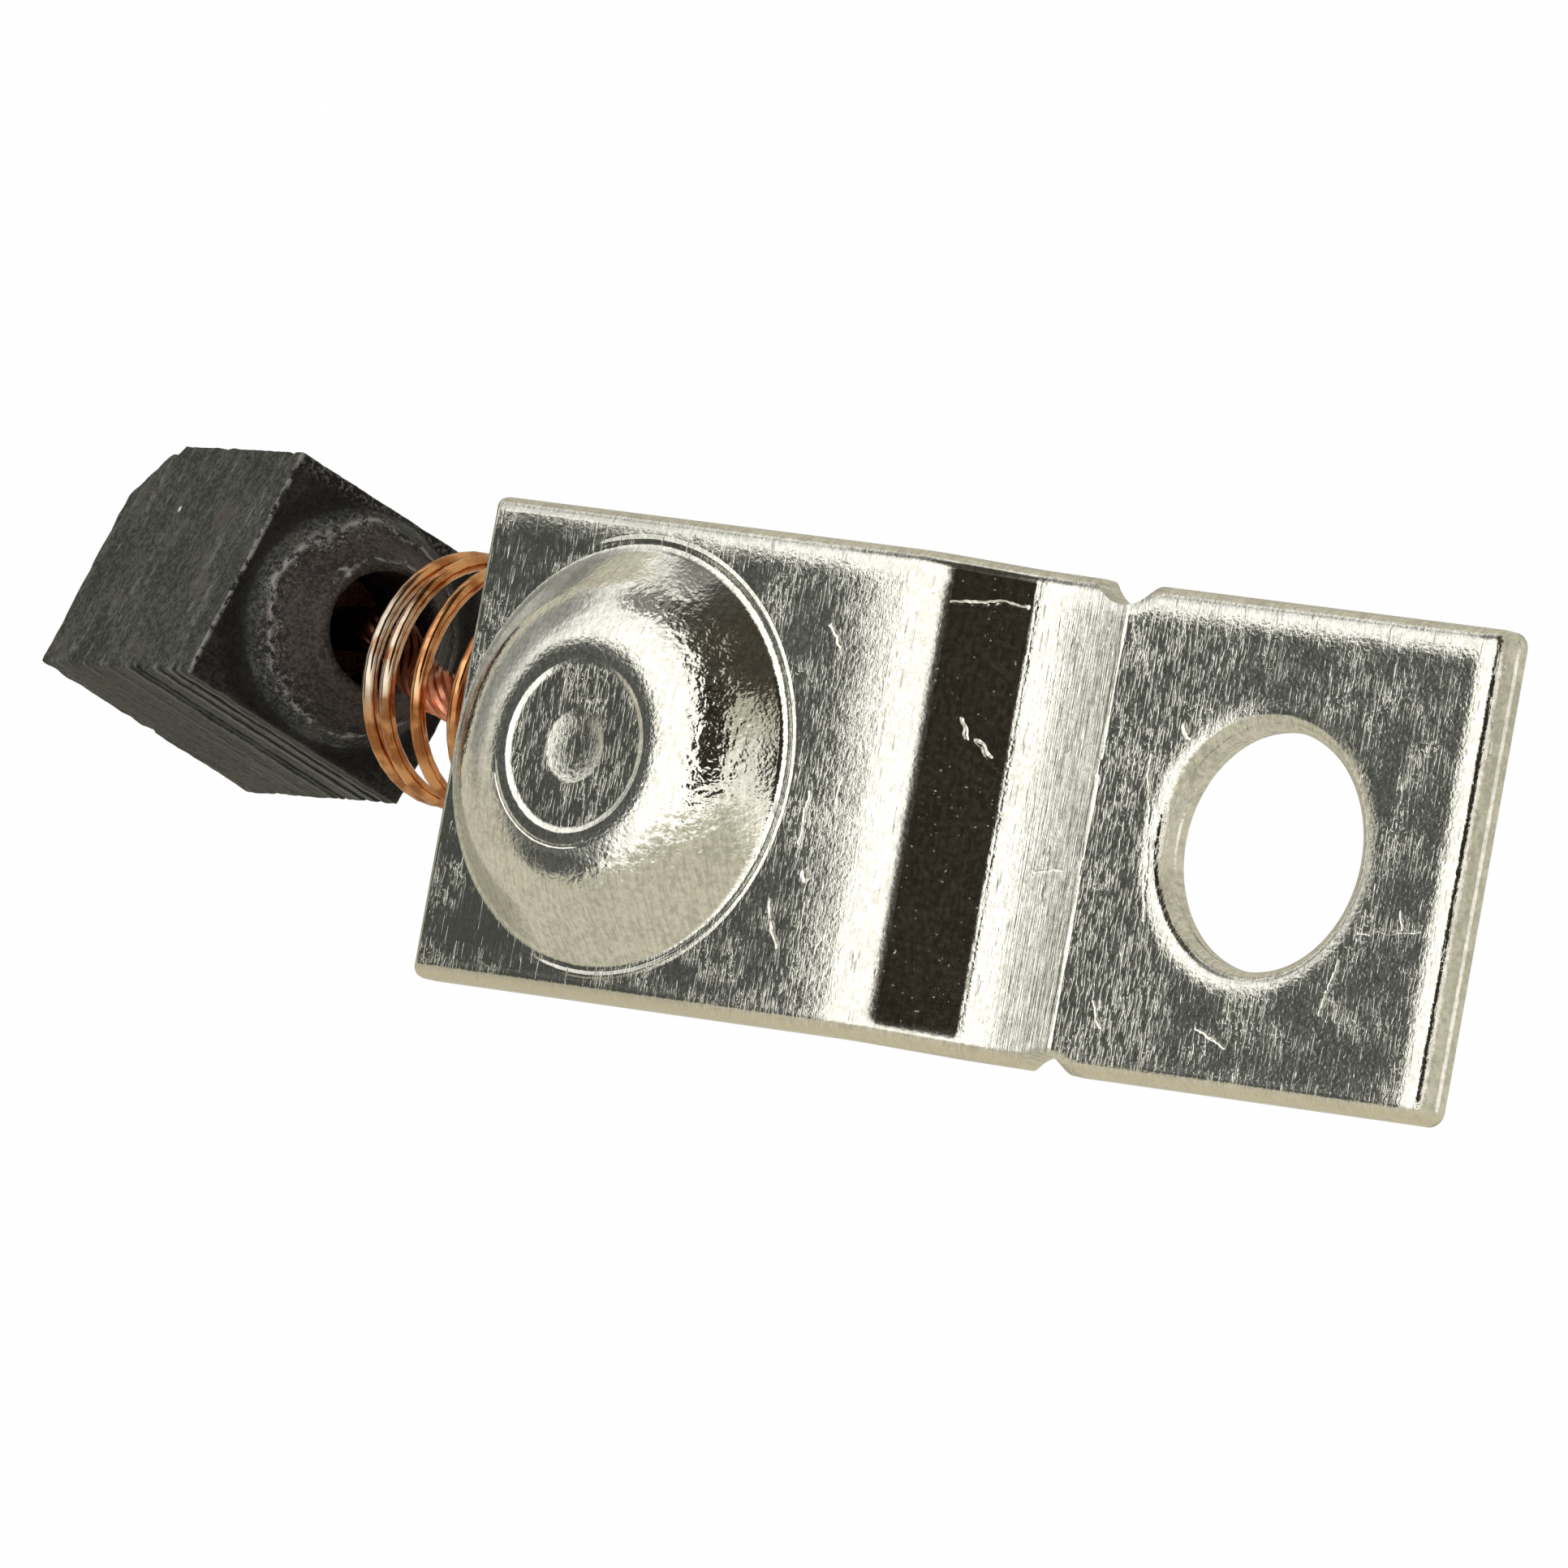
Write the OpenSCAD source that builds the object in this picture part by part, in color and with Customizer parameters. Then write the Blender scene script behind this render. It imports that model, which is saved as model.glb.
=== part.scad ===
// Carbon brush on a stamped terminal plate, with its coil spring and copper lead.
// Origin: centre of the screw hole, on the plate's underside. +X runs from the dome to the
// screw end, +Z leaves the side that the dome stands on.

/* [Terminal plate] */
// Width of the strip
plate_w = 9.2; // [8.8:0.1:11]
// Thickness of the sheet
sheet_t = 0.7; // [0.5:0.05:0.9]
// Diameter of the screw hole
hole_d = 4.5; // [3.2:0.1:5.5]
// Radius of the rounded edge on the punched side of the screw hole
rim_r = 0.2; // [0.05:0.01:0.3]
// Screw hole centre to the end of the strip
hole_to_end = 4.85; // [3.8:0.05:7]
// Screw hole centre to the crease where the flat starts
hole_to_crease = 4.1; // [3.6:0.05:7]
// Length of the shallow toe between the crease and the foot of the riser
toe_run = 1.95; // [1:0.1:3]
// Slope of the toe where it meets the riser
toe_angle = 15; // [8:1:20]
// Length of the riser, measured level along the strip
riser_run = 1.26; // [0.8:0.02:2]
// Slope of the riser
riser_angle = 36; // [30:1:45]
// Outside radius of the bend at the top of the riser
bend_r = 1.7; // [1.1:0.1:2.4]
// Dome centre to the start of that bend
dome_to_bend = 5.95; // [5:0.05:8]
// Dome centre to the brush end of the strip
dome_to_edge = 4.1; // [4.1:0.05:4.6]
// Corner radius at the screw end
end_corner_r = 0.4; // [0.1:0.05:1]
// Corner radius at the brush end
edge_corner_r = 0.2; // [0.1:0.05:1]
// Radius of the punch that nicked both edges at the crease
nick_r = 0.55; // [0.4:0.05:1]
// Depth of the nick in the +Y edge
nick_far_depth = 0.35; // [0.1:0.05:0.6]
// Depth of the nick in the -Y edge
nick_near_depth = 0.23; // [0.1:0.01:0.6]

/* [Dome] */
// Diameter at the foot of the dome
dome_d = 8.1; // [7.8:0.1:8.2]
// Height of the dome above the strip
dome_h = 1.35; // [1.2:0.05:1.6]
// Diameter of the flat on top
dome_flat_d = 3.5; // [3.4:0.1:3.8]
// Radius of the round shoulder between the flat and the flank
dome_shoulder_r = 2.1; // [1.8:0.05:2.2]
// Radius of the hollow at the foot of the dome
dome_foot_r = 0.25; // [0.1:0.05:0.3]
// Diameter of the coined ring on the flat
coin_d = 3.4; // [2.6:0.1:3.4]
// Width of the coined ring
coin_w = 0.14; // [0.05:0.01:0.2]
// Depth of the coined ring
coin_depth = 0.06; // [0.02:0.01:0.15]
// Diameter of the weld mark on the flat
weld_d = 1.3; // [0.8:0.1:1.6]
// Depth of the weld mark
weld_depth = 0.03; // [0.01:0.01:0.1]

/* [Spring] */
// Outside diameter of the coils
spring_od = 4.92; // [4.6:0.02:5.2]
// Diameter of the wire
wire_d = 0.31; // [0.2:0.01:0.4]
// Play between the first coil and the inside of the dome
seat_play = 0.03; // [0.02:0.01:0.2]
// Distance along the strip from the tip of the boss to the middle of the last coil
coil_gap_x = 0.97; // [0.91:0.02:1.95]
// The same, across the strip
coil_gap_y = 0.64; // [0:0.02:0.8]
// The same, downwards
coil_gap_z = 1.23; // [0.81:0.02:1.39]

/* [Lead] */
// Diameter of the braided lead
lead_d = 0.9; // [0.6:0.05:1]
// Play between the lead's end and the inside of the dome
weld_play = 0.02; // [0.01:0.01:0.1]

/* [Carbon block] */
// Width of the block
brush_w = 5.2; // [5:0.05:6]
// Thickness of the block
brush_t = 4.86; // [4.8:0.02:6]
// Length of the block, without its boss
brush_l = 6.5; // [4:0.1:12]
// Diameter at the foot of the boss
boss_foot_d = 4.7; // [4.2:0.1:4.8]
// Diameter of the boss at its rim
boss_rim_d = 4; // [3.4:0.1:4.2]
// Height of that rim
boss_rim_h = 0.5; // [0.3:0.05:0.8]
// Height of the whole boss
boss_h = 1.4; // [1:0.05:1.6]
// Width of the flat lip around the lead hole
boss_lip = 0.15; // [0.05:0.05:0.4]
// Diameter of the hole for the lead
lead_hole_d = 2.2; // [1.6:0.1:2.6]
// Depth of that hole below the tip of the boss
lead_hole_depth = 5; // [4:0.1:6]
// Length of the tamped plug at the bottom of the hole
plug_l = 2.6; // [1:0.1:2.8]
// Play between the lead and the plug
plug_play = 0.03; // [0.01:0.01:0.1]
// Length of the bevel at the contact end, along the block
bevel_l = 1.15; // [0.2:0.05:2]
// Height of the same bevel, across the block
bevel_h = 1.35; // [0.2:0.05:2]
// Width of the saw lines on the ground side
saw_w = 0.1; // [0.05:0.01:0.2]
// Depth of the saw lines
saw_depth = 0.06; // [0.02:0.01:0.15]

/* [Where the block hangs] */
// Dome centre to the middle of the block's shoulder, along the strip
hang_x = 9.93; // [9.6:0.01:11]
// The same, across the strip
hang_y = 1.98; // [1:0.01:2.5]
// The same, below the top of the strip
hang_z = 3.32; // [3.2:0.01:3.8]
// Angle by which the block droops from level
droop = 23; // [15:1:30]
// Angle by which the block is turned about its own length
twist = 19; // [0:1:45]

/* [Hidden] */
nickel = [0.56, 0.56, 0.5];
copper = [0.78, 0.42, 0.28];
bare_copper = [0.8, 0.36, 0.24];
powder = [0.5, 0.3, 0.22];
carbon = [0.22, 0.22, 0.21];

// How far a cutter runs past what it cuts
over = 0.5;
// Faces round a bore, round the dome and round the wire
BORE_FN = 96;
DOME_FN = 128;
TUBE_SIDES = 8;
// Straight pieces in one bend of the strip, and in one arc of a turned outline
ARC_STEPS = 8;

// The strip seen from its side, from the screw end back to the brush end
toe_r = toe_run / sin(toe_angle);
crease_x = -hole_to_crease;
foot = [crease_x - toe_run, sheet_t + toe_r * (1 - cos(toe_angle))];
brow = foot + riser_run * [-1, tan(riser_angle)];
bend_c = brow - bend_r * [sin(riser_angle), cos(riser_angle)];
toe_c = [crease_x, sheet_t + toe_r];
top_z = bend_c[1] + bend_r;
dome_x = bend_c[0] - dome_to_bend;
edge_x = dome_x - dome_to_edge;

// The dome seen from its side: two arcs and the straight flank between them
shoulder_c = [dome_flat_d / 2, dome_h - dome_shoulder_r];
dome_foot_c = [dome_d / 2, dome_foot_r];
flank = dome_foot_c - shoulder_c;
flank_angle = asin((dome_shoulder_r + dome_foot_r) / norm(flank)) - atan2(flank[1], flank[0]);

// The middle of the first coil, where the wire lies against the round shoulder from inside
coil_r = (spring_od - wire_d) / 2;
wire_reach = dome_shoulder_r - sheet_t - wire_d / 2 - seat_play;
seat_z = shoulder_c[1] + sqrt(wire_reach * wire_reach - pow(coil_r - shoulder_c[0], 2));

// The block's frame: its length points out of the boss, at the plate's dome
dome_base = [dome_x, 0, top_z];
shoulder = dome_base + [-hang_x, hang_y, -hang_z];
out_of_boss = [cos(droop), 0, sin(droop)];
boss_tip = shoulder + boss_h * out_of_boss;
hole_floor = boss_tip - lead_hole_depth * out_of_boss;

// The spring's centre line: straight out of the dome, then round to the block
KNEE_DROP = 0.4;
KNEE_HANDLE = 4.5;
END_HANDLE = 2.1;
spring_start = dome_base + [0, 0, seat_z];
spring_knee = spring_start - [0, 0, KNEE_DROP];
spring_end = boss_tip + [coil_gap_x, -coil_gap_y, -coil_gap_z];
spring_end_way = [0.9855, -0.0664, 0.146];
ROUTE_STEPS = 60;
// Room that each turn takes along the centre line, from the dome to the free end
TURN_ROOM = [0.44, 0.62, 1.5, 2, 1.75, 1.12, 0.84, 1.05, 0.57, 0.345];
RINGS_PER_TURN = 26;
START_PHASE = -62;

// The lead's handles, and the point where it dips before it enters the boss
LEAD_DIP = [1.25, -0.95, -0.25];
LEAD_DIP_WAY = [0.95, -0.3, 0.05];
DOME_HANDLE = 3.4;
DIP_HANDLE = 2.2;
MOUTH_HANDLE = 0.7;
LEAD_STEPS = 22;

// How far the lead's end stands above the floor of the hole, as a share of the plug
LEAD_SEAT = 1 / 3;

// Where the saw lines lie, measured from the shoulder
SAW_LINES = [0.7, 1.3, 2.2, 2.5];

function ray(c, r, a) = c + r * [sin(a), cos(a)];
function unit(v) = v / norm(v);
function bezier(a, b, c, d, t) =
    pow(1 - t, 3) * a + 3 * pow(1 - t, 2) * t * b + 3 * (1 - t) * t * t * c + pow(t, 3) * d;
function sums(v) = [for (i = 0, s = 0; i <= len(v); s = s + (i < len(v) ? v[i] : 0), i = i + 1) s];

// Outline of the bent strip, along the top and back along the underside
function strip_outline() = concat(
    [[edge_x, top_z]],
    [for (i = [0 : ARC_STEPS]) ray(bend_c, bend_r, riser_angle * i / ARC_STEPS)],
    [for (i = [0 : ARC_STEPS]) ray(toe_c, -toe_r, toe_angle * (1 - i / ARC_STEPS))],
    [[hole_to_end, sheet_t], [hole_to_end, 0]],
    [for (i = [0 : ARC_STEPS]) ray(toe_c, -toe_r - sheet_t, toe_angle * i / ARC_STEPS)],
    [for (i = [1 : ARC_STEPS])
        ray(foot, -sheet_t, toe_angle + (riser_angle - toe_angle) * i / ARC_STEPS)],
    [for (i = [0 : ARC_STEPS]) ray(bend_c, bend_r - sheet_t, riser_angle * (1 - i / ARC_STEPS))],
    [[edge_x, top_z - sheet_t]]);

// Half outline of the dome, lifted off its outer face by -inset
function dome_curve(inset) = concat(
    [for (i = [0 : ARC_STEPS])
        ray(shoulder_c, dome_shoulder_r - inset, flank_angle * i / ARC_STEPS)],
    [for (i = [0 : ARC_STEPS])
        ray(dome_foot_c, -dome_foot_r - inset, flank_angle * (1 - i / ARC_STEPS))]);

// Ring of points round c, square to the way the path runs there
function ring(c, way, r, sides) =
    let (u = unit(cross(way, [0, 1, 0])), v = cross(unit(way), u))
    [for (k = [0 : sides - 1]) c + r * (cos(360 * k / sides) * u + sin(360 * k / sides) * v)];

function way_at(path, i) = path[min(i + 1, len(path) - 1)] - path[max(i - 1, 0)];

// Ring of points for the wire, which stands square to the coil it runs round
function wire_ring(c, way, axis) =
    let (u = unit(cross(way, axis)), v = unit(cross(way, u)))
    [for (k = [0 : TUBE_SIDES - 1])
        c + wire_d / 2 * (cos(360 * k / TUBE_SIDES) * u + sin(360 * k / TUBE_SIDES) * v)];

// Closed skin over a row of rings
module skin(rings) {
    n = len(rings[0]);
    last = len(rings) - 1;
    polyhedron(
        points = [for (r = rings) each r],
        faces = concat(
            [[for (k = [n - 1 : -1 : 0]) k]],
            [for (i = [0 : last - 1], k = [0 : n - 1], half = [0, 1])
                let (a = i * n + k, b = i * n + (k + 1) % n)
                half == 0 ? [a, b, b + n] : [a, b + n, a + n]],
            [[for (k = [0 : n - 1]) last * n + k]]),
        convexity = 10);
}

// What rounds a corner of the strip off, at the +X +Y corner of a right angle
module corner_cut(r) {
    difference() {
        translate([-r, -r, 0]) cube([r + over, r + over, top_z + over]);
        translate([-r, -r, -over]) cylinder(r = r, h = top_z + 3 * over, $fn = BORE_FN);
    }
}

module strip() {
    difference() {
        rotate([90, 0, 0])
            linear_extrude(height = plate_w, center = true) polygon(strip_outline());
        for (side = [0, 1]) mirror([0, side, 0]) {
            translate([hole_to_end, plate_w / 2, -over]) corner_cut(end_corner_r);
            translate([edge_x, plate_w / 2, -over]) mirror([1, 0, 0]) corner_cut(edge_corner_r);
        }
        translate([crease_x, plate_w / 2 + nick_r - nick_far_depth, -over])
            cylinder(r = nick_r, h = top_z + 2 * over, $fn = BORE_FN);
        translate([crease_x, -plate_w / 2 - nick_r + nick_near_depth, -over])
            cylinder(r = nick_r, h = top_z + 2 * over, $fn = BORE_FN);
    }
}

// The screw hole with its rounded edge
module screw_hole() {
    translate([0, 0, -over]) cylinder(d = hole_d, h = sheet_t + 2 * over, $fn = BORE_FN);
    rotate_extrude($fn = BORE_FN)
        polygon(concat(
            [for (i = [0 : ARC_STEPS])
                ray([hole_d / 2 + rim_r, sheet_t - rim_r], rim_r, -90 + 90 * i / ARC_STEPS)],
            [[hole_d / 2 + rim_r, sheet_t + over], [hole_d / 4, sheet_t + over],
                [hole_d / 4, sheet_t - rim_r]]));
}

module dome() {
    rotate_extrude($fn = DOME_FN)
        polygon(concat([[0, -sheet_t], [0, dome_h]], dome_curve(0), [[dome_d / 2, -sheet_t]]));
}

module dome_hollow() {
    rotate_extrude($fn = DOME_FN)
        polygon(concat([[0, -sheet_t - over], [0, dome_h - sheet_t]], dome_curve(sheet_t),
            [[dome_d / 2, -sheet_t - over]]));
}

module coined_marks() {
    translate([0, 0, dome_h - coin_depth]) difference() {
        cylinder(d = coin_d + coin_w, h = over, $fn = BORE_FN);
        translate([0, 0, -over]) cylinder(d = coin_d - coin_w, h = 3 * over, $fn = BORE_FN);
    }
    translate([0, 0, dome_h - weld_depth]) cylinder(d = weld_d, h = over, $fn = BORE_FN);
}

module terminal_plate() {
    color(nickel) difference() {
        union() {
            strip();
            translate(dome_base) dome();
        }
        translate(dome_base) dome_hollow();
        translate(dome_base) coined_marks();
        screw_hole();
    }
}

// Coil wound round the centre line, which is measured first so that each turn gets its room
module compression_spring() {
    line = concat([spring_start],
        [for (i = [0 : ROUTE_STEPS])
            bezier(spring_knee, spring_knee - [0, 0, KNEE_HANDLE],
                spring_end + END_HANDLE * spring_end_way, spring_end, i / ROUTE_STEPS)]);
    at = sums([for (i = [1 : len(line) - 1]) norm(line[i] - line[i - 1])]);
    room = sums(TURN_ROOM);
    scale_up = at[len(at) - 1] / room[len(room) - 1];
    turn_table = [for (i = [0 : len(room) - 1]) [i, room[i] * scale_up]];
    index_table = [for (i = [0 : len(at) - 1]) [at[i], i]];
    count = len(TURN_ROOM) * RINGS_PER_TURN;
    frames = [for (j = [0 : count])
        let (
            turn = j / RINGS_PER_TURN,
            place = lookup(lookup(turn, turn_table), index_table),
            i = min(floor(place), len(line) - 2),
            mid = line[i] + (place - i) * (line[i + 1] - line[i]),
            axis = unit(
                (1 - place + i) * unit(way_at(line, i)) + (place - i) * unit(way_at(line, i + 1))),
            u = unit(cross(axis, [0, 1, 0])),
            v = cross(axis, u),
            a = START_PHASE + 360 * turn)
        [mid + coil_r * (cos(a) * u + sin(a) * v), axis]];
    wire = [for (f = frames) f[0]];
    color(copper) skin([for (j = [0 : count]) wire_ring(wire[j], way_at(wire, j), frames[j][1])]);
}

module shunt_lead() {
    weld = dome_base + [0, 0, dome_h - sheet_t - weld_play];
    dip = boss_tip + LEAD_DIP;
    lead_end = hole_floor + LEAD_SEAT * plug_l * out_of_boss;
    path = concat(
        [for (i = [0 : LEAD_STEPS])
            bezier(weld, weld - [0, 0, DOME_HANDLE], dip + DIP_HANDLE * unit(LEAD_DIP_WAY), dip,
                i / LEAD_STEPS)],
        [for (i = [1 : LEAD_STEPS / 2])
            bezier(dip, dip - MOUTH_HANDLE * unit(LEAD_DIP_WAY),
                boss_tip + MOUTH_HANDLE * out_of_boss, boss_tip, 2 * i / LEAD_STEPS)],
        [lead_end]);
    color(bare_copper)
        skin([for (i = [0 : len(path) - 1]) ring(path[i], way_at(path, i), lead_d / 2, TUBE_SIDES)]);
}

// Puts the block's own frame in place: +Z leaves the boss, the shoulder is at Z = 0
module in_place() {
    translate(shoulder) rotate([0, 90 - droop, 0]) rotate([0, 0, -twist]) children();
}

module tamping_plug() {
    floor_z = boss_h - lead_hole_depth;
    color(powder) in_place() difference() {
        translate([0, 0, floor_z]) cylinder(d = lead_hole_d, h = plug_l, $fn = BORE_FN);
        translate([0, 0, floor_z + LEAD_SEAT * plug_l - plug_play])
            cylinder(d = lead_d + 2 * plug_play, h = plug_l, $fn = BORE_FN);
    }
}

// Turned boss that centres the spring
module boss() {
    rotate_extrude($fn = BORE_FN)
        polygon([[0, -over], [boss_foot_d / 2, -over], [boss_foot_d / 2, 0],
            [boss_rim_d / 2, boss_rim_h], [lead_hole_d / 2 + boss_lip, boss_h], [0, boss_h]]);
}

module carbon_block() {
    color(carbon) in_place() difference() {
        union() {
            translate([-brush_w / 2, -brush_t / 2, -brush_l]) cube([brush_w, brush_t, brush_l]);
            boss();
        }
        translate([0, 0, boss_h - lead_hole_depth])
            cylinder(d = lead_hole_d, h = lead_hole_depth + over, $fn = BORE_FN);
        translate([0, brush_t / 2, -brush_l]) rotate([90, 0, 90])
            linear_extrude(height = brush_w + 2 * over, center = true)
                polygon([[-bevel_h, 0], [0, bevel_l], [over, bevel_l], [over, -over], [-bevel_h, -over]]);
        for (z = SAW_LINES)
            translate([0, -brush_t / 2, -z])
                cube([brush_w + 2 * over, 2 * saw_depth, saw_w], center = true);
    }
}

terminal_plate();
compression_spring();
shunt_lead();
tamping_plug();
carbon_block();
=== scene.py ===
import bmesh
import bpy
from math import asin, atan2, cos, pi, radians, sin, tan
from mathutils import Matrix, Vector
from random import Random


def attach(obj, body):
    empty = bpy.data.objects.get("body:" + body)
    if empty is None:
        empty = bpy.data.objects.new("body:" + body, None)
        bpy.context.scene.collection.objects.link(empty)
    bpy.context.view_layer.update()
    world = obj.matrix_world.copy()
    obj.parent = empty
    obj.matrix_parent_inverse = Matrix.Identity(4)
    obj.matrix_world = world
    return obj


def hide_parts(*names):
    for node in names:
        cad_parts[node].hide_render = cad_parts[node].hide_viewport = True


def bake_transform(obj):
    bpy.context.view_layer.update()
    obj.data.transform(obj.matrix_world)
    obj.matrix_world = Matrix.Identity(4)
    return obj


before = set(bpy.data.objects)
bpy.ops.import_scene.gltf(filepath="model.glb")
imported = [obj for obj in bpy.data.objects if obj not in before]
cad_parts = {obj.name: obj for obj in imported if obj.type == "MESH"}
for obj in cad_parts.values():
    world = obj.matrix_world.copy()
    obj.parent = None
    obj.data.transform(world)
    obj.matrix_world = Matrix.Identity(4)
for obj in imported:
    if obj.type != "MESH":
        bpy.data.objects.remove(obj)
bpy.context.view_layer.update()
mm = 0.001

# ---- Terminal plate ---------------------------------------------------------------------
# Nickel plated steel strip, 0.7 mm thick: blanked, Z-bent, and pressed up into a dome over
# the spring's seat. The punch rolls the upper edges over, and a coining tool leaves a ring
# on the dome.
sheet, width, hole_r, roll = 0.7, 9.2, 2.25, 0.3
screw_end, crease, toe_run, riser_run = 4.85, -4.1, 1.95, 1.26
toe_slope, riser_slope, bend_r = radians(15), radians(36), 1.7
toe_r = toe_run / sin(toe_slope)
foot = (crease - toe_run, sheet + toe_r * (1 - cos(toe_slope)))
brow = (foot[0] - riser_run, foot[1] + riser_run * tan(riser_slope))
bend = (brow[0] - bend_r * sin(riser_slope), brow[1] - bend_r * cos(riser_slope))
level = bend[1] + bend_r
dome, dome_r = Vector((bend[0] - 5.95, 0, level)), 4.05
brush_edge = dome.x - 4.1


def take_up(piece):
    """Selects one piece alone and makes it the one that is worked on."""
    bpy.ops.object.select_all(action="DESELECT")
    piece.select_set(True)
    bpy.context.view_layer.objects.active = piece


def pick(chosen, kind="verts"):
    """Selects the vertices or edges of the object in edit mode that chosen() accepts."""
    bpy.ops.mesh.select_mode(type={"verts": "VERT", "edges": "EDGE"}[kind])
    bpy.ops.mesh.select_all(action="DESELECT")
    work = bmesh.from_edit_mesh(bpy.context.object.data)
    for part in getattr(work, kind):
        if chosen(part):
            part.select_set(True)
    bmesh.update_edit_mesh(bpy.context.object.data)


def merge(distance=0.002):
    """Merges the vertices of the object in edit mode that lie within a distance."""
    bpy.ops.mesh.select_all(action="SELECT")
    bpy.ops.mesh.remove_doubles(threshold=distance * mm)


def modify(piece, kind, **settings):
    """Adds a modifier to a piece with its settings, and applies it."""
    bpy.context.view_layer.objects.active = piece
    bpy.ops.object.modifier_add(type=kind)
    modifier = piece.modifiers[-1]
    for name, setting in settings.items():
        setattr(modifier, name, setting)
    bpy.ops.object.modifier_apply(modifier=modifier.name)


def cut(target, cutter, how="DIFFERENCE"):
    """Cuts one solid with another, or joins them, and clears the tool away."""
    modify(target, "BOOLEAN", object=cutter, operation=how, solver="EXACT")
    bpy.data.objects.remove(cutter)


def drill(target, radius, deep, place, sides):
    """Takes a standing round hole out of a solid, with its middle at a place."""
    bpy.ops.object.select_all(action="DESELECT")
    bpy.ops.mesh.primitive_cylinder_add(
        vertices=sides, radius=radius * mm, depth=deep * mm, location=[c * mm for c in place])
    cut(target, bpy.context.object)


def turned(name, profile, centre, steps):
    """A solid turned from a half outline of (radius, height) points about a standing axis."""
    bpy.ops.object.select_all(action="DESELECT")
    bpy.ops.mesh.primitive_plane_add(size=1 * mm)
    piece = bpy.context.object
    piece.name = name
    bpy.ops.object.mode_set(mode="EDIT")
    pick(lambda v: v.index != 0)
    bpy.ops.mesh.delete(type="VERT")
    pick(lambda v: True)
    work = bmesh.from_edit_mesh(piece.data)
    work.verts.ensure_lookup_table()
    at = work.verts[0].co.copy()
    start = centre + Vector((profile[0][0], 0, profile[0][1]))
    bpy.ops.transform.translate(value=start * mm - at)
    for last, point in zip(profile, profile[1:]):
        step = Vector((point[0] - last[0], 0, point[1] - last[1])) * mm
        bpy.ops.mesh.extrude_region_move(TRANSFORM_OT_translate={"value": step})
    bpy.ops.mesh.select_all(action="SELECT")
    bpy.ops.mesh.spin(steps=steps, angle=2 * pi, center=centre * mm, axis=(0, 0, 1))
    merge()
    bpy.ops.mesh.normals_make_consistent(inside=False)
    bpy.ops.object.mode_set(mode="OBJECT")
    return piece


bpy.ops.object.select_all(action="DESELECT")
bpy.ops.mesh.primitive_plane_add(
    size=1 * mm, location=((screw_end + crease) / 2 * mm, 0, sheet * mm))
plate = bpy.context.object
plate.name = "plated_strip"
plate.scale = (screw_end - crease, width, 1)
bpy.ops.object.transform_apply(location=True, rotation=True, scale=True)
# The screw flat's far edge is swung up the toe, drawn up the riser, swung level at the upper
# bend and drawn out to the brush end
bpy.ops.object.mode_set(mode="EDIT")
pick(lambda e: all(v.co.x < (crease + 0.1) * mm for v in e.verts), "edges")
bpy.ops.mesh.spin(steps=8, angle=-toe_slope, axis=(0, 1, 0),
                  center=(crease * mm, 0, (sheet + toe_r) * mm))
bpy.ops.mesh.extrude_region_move(
    TRANSFORM_OT_translate={"value": (-riser_run * mm, 0, riser_run * tan(riser_slope) * mm)})
bpy.ops.mesh.spin(steps=14, angle=riser_slope, axis=(0, 1, 0),
                  center=(bend[0] * mm, 0, bend[1] * mm))
bpy.ops.mesh.extrude_region_move(
    TRANSFORM_OT_translate={"value": ((brush_edge - bend[0]) * mm, 0, 0)})
merge()
bpy.ops.mesh.normals_make_consistent(inside=False)
bpy.ops.object.mode_set(mode="OBJECT")
modify(plate, "SOLIDIFY", thickness=sheet * mm, offset=-1, use_even_offset=True)
drill(plate, hole_r, 4, (0, 0, 0), 128)


def upright(face):
    """Whether a face is one of the strip's cut sides."""
    return abs(face.normal.z) < 0.3


def rim(edge, side):
    """Whether an edge lies between a cut side of the strip and its upper or lower face."""
    return (len(edge.link_faces) == 2 and any(upright(f) for f in edge.link_faces)
            and any(f.normal.z * side > 0.5 for f in edge.link_faces))


def corner(edge):
    """Whether an edge stands at a corner of the strip."""
    return (len(edge.link_faces) == 2 and all(upright(f) for f in edge.link_faces)
            and edge.calc_face_angle() > 0.7)


def brush_end(edge):
    """Whether an edge lies beyond the dome, at the end that the brush hangs from."""
    return all(v.co.x < (dome.x - dome_r) * mm for v in edge.verts)


# The punch goes in from above: the upper edges roll over by 0.3 mm, but only by 0.12 mm at
# the brush end, and the lower ones stay nearly sharp.
take_up(plate)
bpy.ops.object.mode_set(mode="EDIT")
merge()
pick(lambda e: rim(e, 1) or corner(e), "edges")
bpy.ops.transform.edge_bevelweight(value=1)
pick(lambda e: (rim(e, 1) or corner(e)) and brush_end(e), "edges")
bpy.ops.transform.edge_bevelweight(value=-0.6)
bpy.ops.object.mode_set(mode="OBJECT")
modify(plate, "BEVEL", limit_method="WEIGHT", width=roll * mm, segments=6, use_clamp_overlap=False)
bpy.ops.object.mode_set(mode="EDIT")
pick(lambda e: rim(e, -1), "edges")
bpy.ops.mesh.bevel(offset=0.08 * mm, segments=2, affect="EDGES")
bpy.ops.object.mode_set(mode="OBJECT")
for side, punch_r, bite in ((1, 0.8, 0.45), (-1, 0.7, 0.33)):
    punch_y = side * (width / 2 + punch_r - bite)
    drill(plate, punch_r, 4, (crease - 0.12, punch_y, sheet), 48)


def arc(centre, r, first, last, steps):
    """Outline points on an arc, with angles counted from straight up toward the rim."""
    return [(centre[0] + r * sin(first + (last - first) * i / steps),
             centre[1] + r * cos(first + (last - first) * i / steps)) for i in range(steps + 1)]


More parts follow.
